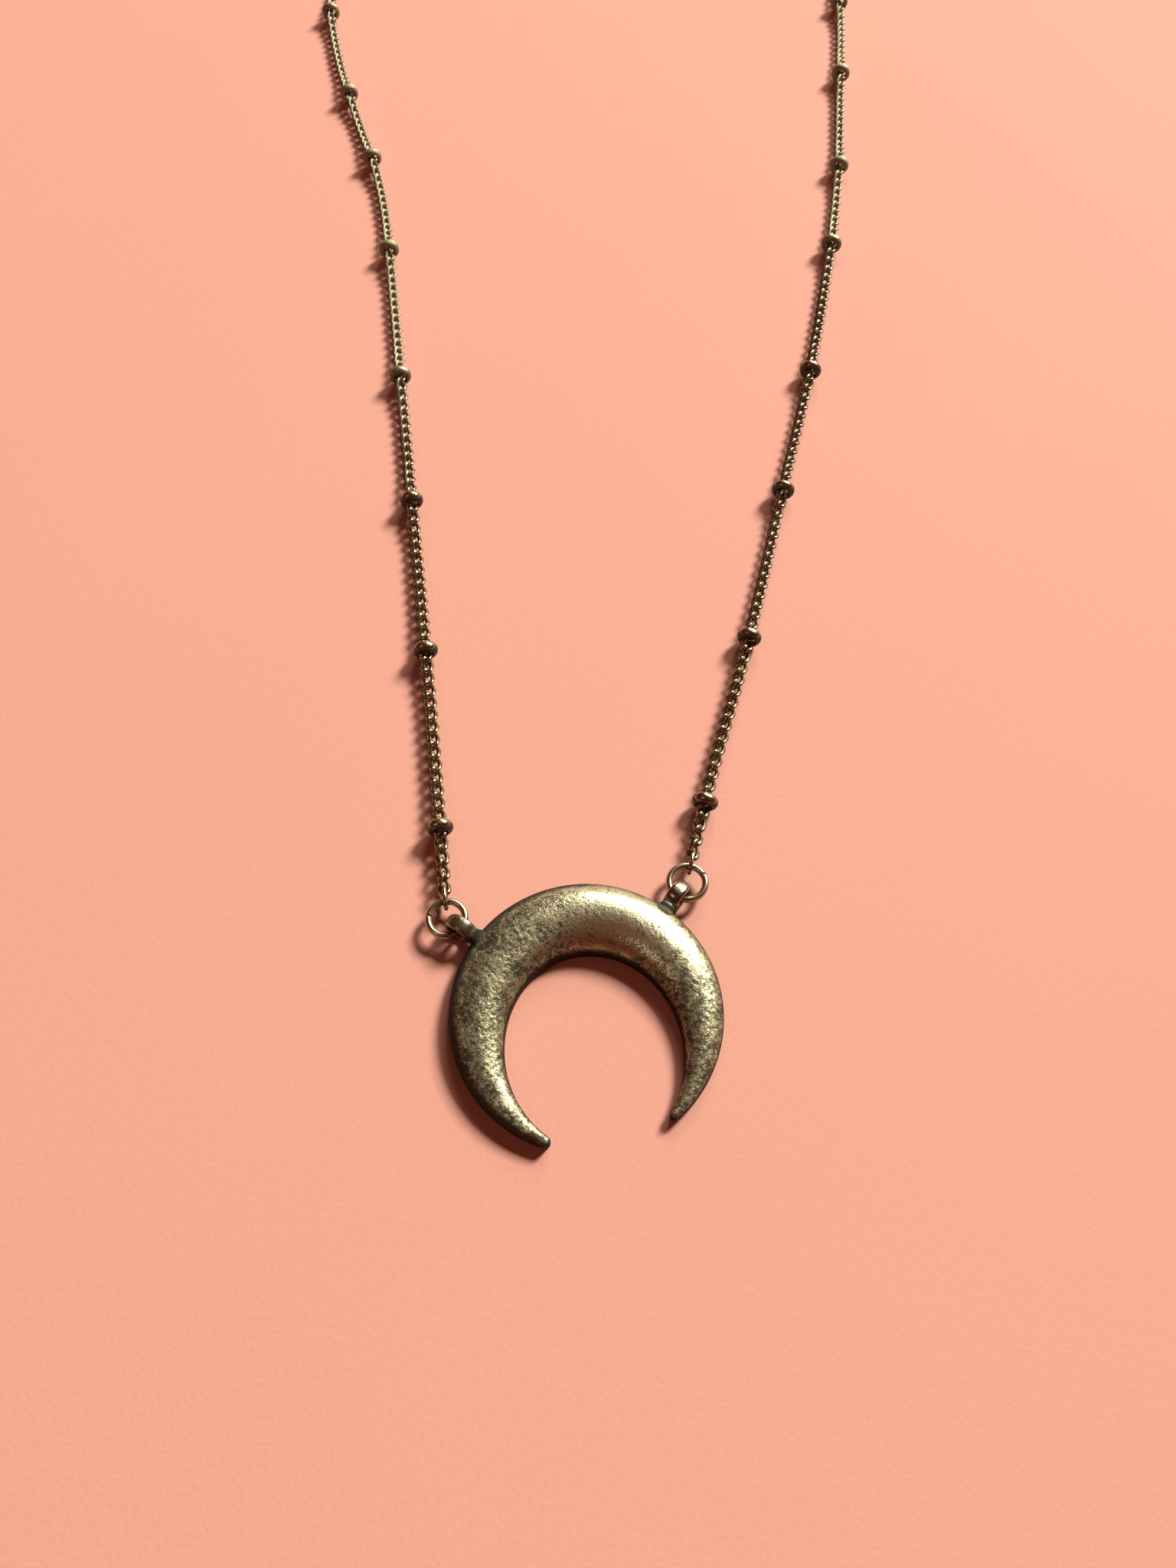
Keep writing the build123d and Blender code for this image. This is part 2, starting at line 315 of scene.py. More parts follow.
@dataclass(frozen=True)
class TumbledBrass:
    """Aged cast brass, rubbed pale in patches, dark with patina in its pits and at the eyes'
    roots.

    Its steep and downward faces, and a band at its outer rim that is widest on the upper left,
    away from the lamps, are dark and dull: painted shade mixed with patina. Its pale flecks sit
    on upward faces only, and near the rubbed crown they also paint a highlight. Its foot gets a
    painted reflection of the paper.

    Clouds, flecks and grains are its noises. Values that start with edge belong to the line
    where the dome turns down, and those with rim, eyes, foot and root to what they name.
    """

    worn: Colour = (0.54, 0.45, 0.25, 1.0)
    pale: Colour = (0.94, 0.82, 0.50, 1.0)
    aged: Colour = (0.142, 0.12, 0.072, 1.0)
    eyes: Colour = (0.34, 0.28, 0.18, 1.0)
    # Dark, dull colour for patina, dirt and painted shade.
    grime_and_shade: Colour = (0.028, 0.019, 0.012, 1.0)
    # Painted reflection of the paper on the bottom edge.
    foot: Colour = (0.30, 0.20, 0.13, 1.0)
    cloud: float = 2.1 * MM
    fleck: float = 0.43 * MM
    grain: float = 0.17 * MM
    rubbed: Mottle = Mottle(clouds=0.5, flecks=0.5, grains=0.4, smooth=0.15, low=0.6, high=0.82)
    bright: Mottle = Mottle(clouds=0.3, flecks=0.6, grains=0.8, smooth=0.32, low=0.92, high=1.08)
    pits: Mottle = Mottle(clouds=0.0, flecks=1.0, grains=0.3, smooth=0.2, low=0.49, high=0.35)
    # How far the rubbed crown's paleness reaches, which also paints a highlight there.
    rubbed_highlight_reach: float = 12.5 * MM
    # The line where the dome turns down: faces below it take painted shade instead of pale
    # flecks.
    edge_low: float = 0.285
    edge_high: float = 0.805
    edge_cloud: float = 0.4
    edge_grain: float = 0.25
    edge_rim: float = 0.06
    # A dark band at the outer rim, widest on the upper left away from the lamps: patina with
    # painted shade.
    rim_start: float = 12.3 * MM
    rim_end: float = 13.5 * MM
    rim_shift: Vector = field(default_factory=lambda: Vector((0.35, -0.3, 0.0)) * MM)
    rim_cloud: float = 1.2 * MM
    rim_grain: float = 0.6 * MM
    eyes_start: float = 13.5 * MM
    eyes_end: float = 14.1 * MM
    eyes_lift: float = 0.3
    eyes_cover: float = 0.85
    # Height of the painted reflection of the paper on the bottom edge, and its cover.
    foot_low: float = 0.08 * MM
    foot_high: float = 0.2 * MM
    foot_cover: float = 0.7
    root_reach: float = 2.0 * MM
    root_grain: float = 0.6
    root_low: float = 0.55
    root_high: float = 0.85
    hammer_depth: float = 0.09 * MM
    hammer_fleck: float = 0.7
    smooth_flat: float = 0.5
    eyes_flat: float = 0.7
    grain_depth: float = 0.02 * MM
    shine: float = 0.15
    roughness: float = 0.48
    grime_and_shade_roughness: float = 0.2
    bright_gloss: float = 0.08
    smooth_gloss: float = 0.12
    eyes_gloss: float = 0.14

    def material(
        self, centre: Vector, roots: list[Vector], rubbed_highlight_place: Vector
    ) -> bpy.types.Material:
        """Makes the finish.

        Args:
            centre: Centre of the crescent's outer circle.
            roots: Points where the eyes meet the crescent, which stay dark with patina.
            rubbed_highlight_place: Middle of the part that is rubbed most, which also gets a
                painted highlight.

        Returns:
            The material.
        """
        recipe = Recipe("tumbled_brass")
        clouds = recipe.noise(self.cloud, detail=3.0, roughness=0.6)
        flecks = recipe.noise(self.fleck, detail=1.5, roughness=0.6)
        grains = recipe.noise(self.grain, detail=1.0)
        # Paler and glossier near the rubbed crown: wear, with a painted highlight where the
        # crown catches the lamps.
        smooth = recipe.step(recipe.distance(rubbed_highlight_place), self.rubbed_highlight_reach, 0.0)
        rubbed, bright, pits = (
            mottle.mask(recipe, clouds, flecks, grains, smooth)
            for mottle in (self.rubbed, self.bright, self.pits)
        )
        eyes = recipe.step(recipe.distance(centre), self.eyes_start, self.eyes_end)
        cloudy, grainy = clouds - NOISE_MIDDLE, grains - NOISE_MIDDLE
        # A dark band at the outer rim, widest on the upper left away from the lamps: patina with
        # painted shade.
        ragged = cloudy * self.rim_cloud + grainy * self.rim_grain
        away = recipe.distance(centre + self.rim_shift) + ragged
        rim = recipe.step(away, self.rim_start, self.rim_end)
        # Faces that turn sideways or down lose the pale flecks and take the dark, dull colour:
        # painted shade, mixed with patina.
        uneven = cloudy * self.edge_cloud + grainy * self.edge_grain
        lift = recipe.facing_up() + uneven + eyes * self.eyes_lift - rim * self.edge_rim
        upper = recipe.step(lift, self.edge_low, self.edge_high)
        dark = ((pits | rim) * (1 - eyes)) | (1 - upper)
        for root in roots:
            near = recipe.step(recipe.distance(root), self.root_reach, 0.0)
            stain = near + grains * self.root_grain
            dark = dark | recipe.step(stain, self.root_low, self.root_high)
        # The bottom edge takes a painted reflection of the paper.
        low = recipe.step(recipe.height(), self.foot_high, self.foot_low)
        colour = recipe.mix(rubbed, self.aged, self.worn)
        colour = recipe.mix(bright * upper, colour, self.pale)
        colour = recipe.mix(eyes * self.eyes_cover, colour, self.eyes)
        colour = recipe.mix(dark, colour, self.grime_and_shade)
        colour = recipe.mix(low * self.foot_cover, colour, self.foot)
        relief = (flecks * self.hammer_fleck + clouds) * (1 - smooth * self.smooth_flat)
        hammered = recipe.bump(relief * (1 - eyes * self.eyes_flat), self.hammer_depth)
        gloss = bright * self.bright_gloss + smooth * self.smooth_gloss + eyes * self.eyes_gloss
        return recipe.dress(
            Base_Color=colour,
            Specular_IOR_Level=self.shine,
            Metallic=1 - dark,
            Roughness=self.roughness + dark * self.grime_and_shade_roughness - gloss,
            Normal=recipe.bump(grains, self.grain_depth, below=hammered),
        )


@dataclass(frozen=True)
class PolishedBrass:
    """Smooth plated brass with stains and painted shade below, paler and duller far up the
    strands.
    """

    name: str
    bright: Colour
    grime_and_shade: Colour
    roughness: float
    pale: Colour = (0.42, 0.36, 0.225, 1.0)
    pale_grime_and_shade: Colour = (0.3, 0.245, 0.155, 1.0)
    pale_roughness: float = 0.42
    dark_place: Vector = field(default_factory=lambda: Vector((40.0, 20.0, 0.0)) * MM)
    pale_start: float = 66 * MM
    pale_end: float = 100 * MM
    cloud: float = 0.9 * MM
    scratch: float = 0.12 * MM
    relief: float = 0.004 * MM
    edge_low: float = -0.2
    edge_high: float = 0.55
    stain_cloud: float = 0.7
    stain_scratch: float = 0.4
    # Weight of the painted shade on faces that turn down, then the thresholds, cover and
    # dullness of stains and shade together.
    shade_under: float = 0.7
    stain_and_shade_low: float = 0.7
    stain_and_shade_high: float = 1.05
    stain_and_shade_cover: float = 0.85
    stain_and_shade_roughness: float = 0.2

    def material(self) -> bpy.types.Material:
        """Makes the finish.

        Returns:
            The material.
        """
        recipe = Recipe(self.name)
        clouds = recipe.noise(self.cloud, detail=3.0, roughness=0.6)
        scratches = recipe.noise(self.scratch)
        # Faces that turn down take the dark, dull colour: painted shade, mixed with stains from
        # the clouds and scratches.
        under = recipe.step(recipe.facing_up(), self.edge_high, self.edge_low)
        stain = clouds * self.stain_cloud + scratches * self.stain_scratch
        stain_and_shade = recipe.step(stain + under * self.shade_under, self.stain_and_shade_low, self.stain_and_shade_high)
        far = recipe.step(recipe.distance(self.dark_place), self.pale_start, self.pale_end)
        bright = recipe.mix(far, self.bright, self.pale)
        grime_and_shade = recipe.mix(far, self.grime_and_shade, self.pale_grime_and_shade)
        dullness = stain_and_shade * self.stain_and_shade_roughness + far * self.pale_roughness
        return recipe.dress(
            Base_Color=recipe.mix(stain_and_shade, bright, grime_and_shade),
            Metallic=1 - stain_and_shade * self.stain_and_shade_cover,
            Roughness=self.roughness + dullness,
            Normal=recipe.bump(scratches, self.relief),
        )


@dataclass(frozen=True)
class Paper:
    """Plain peach paper that the necklace lies on."""

    colour: Colour = (0.93, 0.408, 0.287, 1.0)
    shade: Colour = (0.91, 0.395, 0.277, 1.0)
    cloud: float = 40 * MM
    tooth: float = 0.5 * MM
    tooth_depth: float = 0.02 * MM
    roughness: float = 0.8
    shine: float = 0.2

    def material(self) -> bpy.types.Material:
        """Makes the finish.

        Returns:
            The material.
        """
        recipe = Recipe("peach_paper")
        return recipe.dress(
            Base_Color=recipe.mix(recipe.noise(self.cloud), self.colour, self.shade),
            Roughness=self.roughness,
            Specular_IOR_Level=self.shine,
            Normal=recipe.bump(recipe.noise(self.tooth, detail=3.0), self.tooth_depth),
        )


RING_FINISH = PolishedBrass(
    "ring_brass",
    bright=(0.64, 0.55, 0.36, 1.0),
    grime_and_shade=(0.04, 0.03, 0.02, 1.0),
    roughness=0.27,
    edge_low=0.0,
)
CHAIN_FINISH = PolishedBrass(
    "chain_brass",
    bright=(0.45, 0.38, 0.21, 1.0),
    grime_and_shade=(0.03, 0.024, 0.014, 1.0),
    roughness=0.23,
    edge_low=0.0,
    edge_high=0.6,
)
BEAD_FINISH = PolishedBrass(
    "bead_brass",
    bright=(0.43, 0.36, 0.205, 1.0),
    grime_and_shade=(0.035, 0.028, 0.018, 1.0),
    roughness=0.27,
    scratch=0.4 * MM,
    relief=0.05 * MM,
    edge_low=0.2,
    edge_high=0.85,
)
CLASP_FINISH = PolishedBrass(
    "clasp_brass",
    bright=(0.42, 0.36, 0.23, 1.0),
    grime_and_shade=(0.05, 0.04, 0.027, 1.0),
    roughness=0.28,
)


def kept_mesh(name: str, mesh: bmesh.types.BMesh) -> bpy.types.Mesh:
    """Turns a bmesh into mesh data.

    Args:
        name: Name of the data.
        mesh: The bmesh, which is freed.

    Returns:
        The mesh data.
    """
    data = bpy.data.meshes.new(name)
    mesh.to_mesh(data)
    mesh.free()
    return data


def placed(name: str, data: bpy.types.ID) -> bpy.types.Object:
    """Makes an object of some data and puts it into the scene.

    Args:
        name: Name of the object.
        data: Its mesh, light or camera.

    Returns:
        The new object.
    """
    thing = bpy.data.objects.new(name, data)
    bpy.context.scene.collection.objects.link(thing)
    return thing


def finished_piece(
    name: str, mesh: bmesh.types.BMesh, material: bpy.types.Material, slot: Slot, *nodes: str
) -> bpy.types.Object:
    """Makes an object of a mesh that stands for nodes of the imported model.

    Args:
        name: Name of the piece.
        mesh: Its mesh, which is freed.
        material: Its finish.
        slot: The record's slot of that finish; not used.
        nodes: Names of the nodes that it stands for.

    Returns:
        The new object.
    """
    bmesh.ops.remove_doubles(mesh, verts=mesh.verts, dist=MERGE_DISTANCE)
    bmesh.ops.recalc_face_normals(mesh, faces=mesh.faces)
    for face in mesh.faces:
        face.smooth = True
    piece = placed(name, kept_mesh(name, mesh))
    piece.data.materials.append(material)
    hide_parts(*nodes)
    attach(piece, "root")
    LOG.info("%s: %d faces", name, len(piece.data.polygons))
    return piece


def ring_edges(ring: list[bmesh.types.BMVert]) -> list[bmesh.types.BMEdge]:
    """Edges between the neighbouring points of a closed ring.

    Args:
        ring: The points, in order.

    Returns:
        The edges.
    """
    pairs = zip(ring, ring[1:] + ring[:1])
    shared = [set(near.link_edges) & set(far.link_edges) for near, far in pairs]
    return [edges.pop() for edges in shared]


def skin(mesh: bmesh.types.BMesh, rings: list[list[bmesh.types.BMVert]]) -> None:
    """Bridges each closed ring to the next one. All have the same number of points."""
    for near, far in zip(rings, rings[1:]):
        bmesh.ops.bridge_loops(mesh, edges=ring_edges(near) + ring_edges(far))


def spin_round(
    mesh: bmesh.types.BMesh,
    outline: list[bmesh.types.BMVert | bmesh.types.BMEdge],
    middle: Vector,
    axis: Vector,
    steps: int,
) -> None:
    """Turns an outline once round an axis and closes what it makes.

    Args:
        mesh: The mesh that holds it.
        outline: Its points and edges.
        middle: A point on the axis.
        axis: Direction of the axis.
        steps: Number of steps in the turn.
    """
    bmesh.ops.spin(
        mesh, geom=outline, cent=middle, axis=axis, angle=2 * pi, steps=steps, use_merge=True
    )


def add_outline(
    mesh: bmesh.types.BMesh,
    profile: list[tuple[float, float]],
    origin: Vector,
    first: Vector,
    second: Vector,
) -> list[bmesh.types.BMVert]:
    """Adds a closed outline.

    Args:
        mesh: The mesh that gets it.
        profile: Its points, as distances along two directions.
        origin: The point from which they are measured.
        first: Direction of the first distance.
        second: Direction of the second distance.

    Returns:
        Its points, in order.
    """
    ring = bmesh.ops.create_circle(mesh, segments=len(profile), radius=1.0)["verts"]
    for vert, (out, onward) in zip(ring, profile):
        vert.co = origin + first * out + second * onward
    return ring


def node_middle(node: str) -> Vector:
    """Middle of a node's box."""
    low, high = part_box(node)
    return (low + high) / 2


def share_between(value: float, low: float, high: float) -> float:
    """How far a value has come from the low to the high one, from 0 to 1."""
    return min(max((value - low) / (high - low), 0.0), 1.0)


def square_length(first: float, second: float, squareness: float) -> float:
    """Length of a plane vector, measured so that 1 is a rounded square and not a circle."""
    return (abs(first) ** squareness + abs(second) ** squareness) ** (1 / squareness)


@dataclass(frozen=True)
class EyeLoop:
    """Upright loop of flat, softened stock, as an eye that a ring goes through."""

    hole: float
    wall: float
    width: float
    points: int = 20
    steps: int = 40
    squareness: float = 2.6

    def build(
        self, mesh: bmesh.types.BMesh, middle: Vector, outward: Vector
    ) -> list[bmesh.types.BMVert]:
        """Adds the loop.

        Args:
            mesh: The mesh that gets it.
            middle: Middle of its hole.
            outward: Level direction in which it stands off what carries it.

        Returns:
            Its points.
        """
        along = outward.cross(UP)
        before = len(mesh.verts)
        stock = bmesh.ops.create_circle(mesh, segments=self.points, radius=1.0)["verts"]
        stock_middle = middle + outward * (self.hole + self.wall / 2)
        for vert in stock:
            out, side, _ = vert.co
            place = outward * out * self.wall / 2 + along * side * self.width / 2
            vert.co = stock_middle + place / square_length(out, side, self.squareness)
        spin_round(mesh, stock + ring_edges(stock), middle, along, self.steps)
        mesh.verts.ensure_lookup_table()
        return mesh.verts[before:]


class StemSection(NamedTuple):
    """One section of an eye's stem: its place, from 0 at the root to 1, and its size."""

    share: float
    width: float
    height: float


@dataclass
class Crescent:
    """Cast crescent with a flat back, a domed face and two eyes on its outer edge."""

    radius: float = 13.35 * MM
    crown_width: float = 7.54 * MM
    limb_width: float = 4.8 * MM
    hollow_drop: float = 3.84 * MM
    section_drop: float = 2.6 * MM
    horn_angle: float = 144.5
    thickness: float = 3.2 * MM
    crown_rim: float = 0.6 * MM
    horn_rim: float = 0.95 * MM
    turn: float = 11.7
    foot: float = 0.12 * MM
    stations: int = 97
    tip_stations: int = 6
    tip_turn: float = 88.0
    dome_points: int = 18
    eye_angles: tuple[float, float] = (-44.4, 49.4)
    eye_setback: float = 1.5 * MM
    eye_height: float = 1.42 * MM
    eye_knob: float = 0.5 * MM
    eye_loop: EyeLoop = EyeLoop(hole=0.78 * MM, wall=0.61 * MM, width=1.6 * MM)
    stem_root: float = 1.0 * MM
    stem_bite: float = 0.4
    stem_points: int = 20
    stem_squareness: float = 2.6
    stem_sections: tuple[StemSection, ...] = (
        StemSection(share=0.0, width=2.3 * MM, height=1.7 * MM),
        StemSection(share=0.35, width=2.1 * MM, height=1.75 * MM),
        StemSection(share=0.6, width=1.75 * MM, height=1.75 * MM),
        StemSection(share=0.8, width=1.6 * MM, height=1.7 * MM),
        StemSection(share=1.0, width=1.5 * MM, height=1.6 * MM),
    )
    # Place of the rubbed crown, which also gets a painted highlight.
    rubbed_highlight_angle: float = 30.0
    rubbed_highlight_reach: float = 10.6 * MM
    finish: TumbledBrass = TumbledBrass()

    def __post_init__(self) -> None:
        """Works out what follows from the sizes."""
        turn = radians(self.turn)
        self.across = Vector((cos(turn), sin(turn), 0.0))
        self.upward = Vector((-sin(turn), cos(turn), 0.0))
        self.centre = self.upward * (self.crown_width / 2 - self.radius)
        self.hollow_half_width = self.radius - self.limb_width
        self.hollow_half_height = self.radius - self.crown_width + self.hollow_drop

    def ray(self, angle: float) -> Vector:
        """Direction at an angle in degrees from the top, clockwise as seen from above."""
        return self.across * sin(radians(angle)) + self.upward * cos(radians(angle))

    def band(self, angle: float) -> tuple[float, float]:
        """Distances from the section point to the band's inner and outer edge.

        Args:
            angle: Angle of the ray, in degrees from the top.

        Returns:
            The inner and the outer distance.
        """
        side = sin(radians(angle))
        rise = cos(radians(angle))
        drop = self.section_drop
        outer = drop * rise + sqrt(self.radius**2 - (drop * side) ** 2)
        above = self.hollow_drop - drop
        square = (side / self.hollow_half_width) ** 2 + (rise / self.hollow_half_height) ** 2
        slope = above * rise / self.hollow_half_height**2
        rest = (above / self.hollow_half_height) ** 2 - 1
        inner = (sqrt(slope**2 - square * rest) - slope) / square
        return inner, outer

    def section(
        self, mesh: bmesh.types.BMesh, angle: float, beyond: float
    ) -> list[bmesh.types.BMVert]:
        """Adds one cross-section.

        Args:
            mesh: The mesh that gets it.
            angle: Angle of its ray, in degrees from the top.
            beyond: How far round the tip it stands, in degrees: 0 on the band.

        Returns:
            Its points, from the inner foot over the dome to the outer foot.
        """
        inner, outer = self.band(angle)
        narrow_inner, narrow_outer = self.band(self.horn_angle)
        crown_inner, crown_outer = self.band(0.0)
        narrow = narrow_outer - narrow_inner
        swell = (outer - inner - narrow) / (crown_outer - crown_inner - narrow)
        rim = self.horn_rim + (self.crown_rim - self.horn_rim) * swell
        dome = narrow / 2 + (self.thickness - self.crown_rim - narrow / 2) * swell
        shrink = cos(radians(beyond))
        half = (outer - inner) / 2 * shrink
        onward = self.ray(angle + copysign(90.0, angle)) * (outer - inner) / 2
        foot = self.centre - self.upward * self.section_drop
        foot += self.ray(angle) * (inner + outer) / 2 + onward * sin(radians(beyond))
        profile = [(-half + self.foot * shrink, 0.0), (-half, self.foot)]
        for step in range(self.dome_points + 1):
            along = pi * step / self.dome_points
            profile.append((-half * cos(along), rim + dome * shrink * sin(along)))
        profile += [(half, self.foot), (half - self.foot * shrink, 0.0)]
        return add_outline(mesh, profile, foot, self.ray(angle), UP)

    def body(self, mesh: bmesh.types.BMesh) -> None:
        """Adds the crescent itself, from tip to tip.

        Args:
            mesh: The mesh that gets it.
        """
        count = self.tip_stations
        tips = [self.tip_turn * number / count for number in range(1, count + 1)]
        shares = [2 * number / (self.stations - 1) - 1 for number in range(self.stations)]
        stands = [(-self.horn_angle, beyond) for beyond in reversed(tips)]
        stands += [(self.horn_angle * share, 0.0) for share in shares]
        stands += [(self.horn_angle, beyond) for beyond in tips]
        sections = [self.section(mesh, angle, beyond) for angle, beyond in stands]
        skin(mesh, sections)
        for tip in (sections[0], sections[-1]):
            bmesh.ops.edgeloop_fill(mesh, edges=ring_edges(tip))

    def eye(self, mesh: bmesh.types.BMesh, angle: float) -> None:
        """Adds one eye: an upright loop, thicker on its outer side, and its stem.

        Args:
            mesh: The mesh that gets it.
            angle: Where it stands, in degrees from the top.
        """
        loop = self.eye_loop
        outward = self.ray(angle)
        along = outward.cross(UP)
        middle = self.centre + outward * (self.radius + self.eye_setback) + UP * self.eye_height
        for vert in loop.build(mesh, middle, outward):
            away = vert.co - middle
            beyond = max(away.dot(outward) / (loop.hole + loop.wall), 0.0)
            away -= along * away.dot(along)
            share = (away.length - loop.hole) / loop.wall
            vert.co += outward * self.eye_knob * beyond * max(share, 0.0)
        self.stem(mesh, outward)

    def stem(self, mesh: bmesh.types.BMesh, outward: Vector) -> None:
        """Adds an eye's stem, which spreads where it meets the crescent's edge.

        Args:
            mesh: The mesh that gets it.
            outward: Level direction in which the eye stands off the crescent.
        """
        along = outward.cross(UP)
        start = self.radius - self.stem_root
        end = self.radius + self.eye_setback - self.eye_loop.hole
        end -= self.eye_loop.wall * self.stem_bite
        rings = []
        for section in self.stem_sections:
            ring = bmesh.ops.create_circle(mesh, segments=self.stem_points, radius=1.0)["verts"]
            reach = self.centre + outward * (start + (end - start) * section.share)
            for vert in ring:
                side, rise, _ = vert.co
                place = along * side * section.width / 2 + UP * rise * section.height / 2
                place /= square_length(side, rise, self.stem_squareness)
                vert.co = reach + place + UP * self.eye_height
                vert.co.z = max(vert.co.z, self.foot)
            rings.append(ring)
        skin(mesh, rings)
        for cap in (rings[0], rings[-1]):
            bmesh.ops.edgeloop_fill(mesh, edges=ring_edges(cap))

    def build(self) -> bpy.types.Object:
        """Builds the crescent with its eyes.

        Returns:
            The new piece.
        """
        mesh = bmesh.new()
        self.body(mesh)
        for angle in self.eye_angles:
            self.eye(mesh, angle)
        roots = [self.centre + self.ray(angle) * self.radius for angle in self.eye_angles]
        roots = [root + UP * self.eye_height / 2 for root in roots]
        rubbed_highlight_place = self.centre + self.ray(self.rubbed_highlight_angle) * self.rubbed_highlight_reach
        rubbed_highlight_place += UP * self.thickness
        material = self.finish.material(self.centre, roots, rubbed_highlight_place)
        return finished_piece("crescent_cast", mesh, material, Slot.CRESCENT, "crescent")


@dataclass
class JumpRing:
    """Round wire ring lying level, with a hairline slit."""

    node: str
    outward: Vector
    wire: float = 0.7 * MM
    outside: float = 4.4 * MM
    slit: float = 0.06 * MM
    wire_points: int = 16
    steps: int = 56

    def build(self, material: bpy.types.Material) -> bpy.types.Object:
        """Builds the ring in its node's place.

        Args:
            material: Its finish.

        Returns:
            The new piece.
        """
        middle = node_middle(self.node)
        reach = (self.outside - self.wire) / 2
        mesh = bmesh.new()
        start = self.outward.normalized()
        stand = Matrix.LocRotScale(
            middle + start * reach, start.cross(UP).to_track_quat("Z", "Y"), None
        )
        bmesh.ops.create_circle(
            mesh, segments=self.wire_points, radius=self.wire / 2, cap_ends=True, matrix=stand
        )
        slit_angle = self.slit / reach
        bmesh.ops.spin(
            mesh,
            geom=mesh.verts[:] + mesh.edges[:] + mesh.faces[:],
            cent=middle,
            axis=UP,
            angle=2 * pi - slit_angle,
            steps=self.steps,
        )
        return finished_piece(f"{self.node}_wire", mesh, material, Slot.RING, self.node)


@dataclass(frozen=True)
class LinkShape:
    """One link of wire, its half length and half width measured to the wire's middle."""

    half_width: float
    wire_width: float
    wire_height: float
    twist: float
    half_length: float = 1.14 * MM
    squareness: float = 2.8
    wire_points: int = 6
    bends: int = 12

    def mesh(self) -> bpy.types.Mesh:
        """Makes the link, lying along X at the origin.

        Returns:
            Its mesh.
        """
        mesh = bmesh.new()
        reach = self.half_length
        stand = Matrix.LocRotScale(
            (reach, 0, 0),
            Matrix.Rotation(pi / 2, 3, "X"),
            (self.wire_width / 2, self.wire_height / 2, 1.0),
        )
        bmesh.ops.create_circle(mesh, segments=self.wire_points, radius=1.0, matrix=stand)
        spin_round(mesh, mesh.verts[:] + mesh.edges[:], Vector(), UP, self.bends)
        power = 2 / self.squareness
        for vert in mesh.verts:
            around = atan2(vert.co.y, vert.co.x)
            out = hypot(vert.co.x, vert.co.y) - reach
            x = copysign(abs(cos(around)) ** power, cos(around)) * reach
            y = copysign(abs(sin(around)) ** power, sin(around)) * self.half_width
            x += out * cos(around)
            y += out * sin(around)
            lean = radians(self.twist) * x / (2 * reach)
            z = vert.co.z
            vert.co = (x, y * cos(lean) - z * sin(lean), y * sin(lean) + z * cos(lean))
        bmesh.ops.recalc_face_normals(mesh, faces=mesh.faces)
        return kept_mesh("link", mesh)


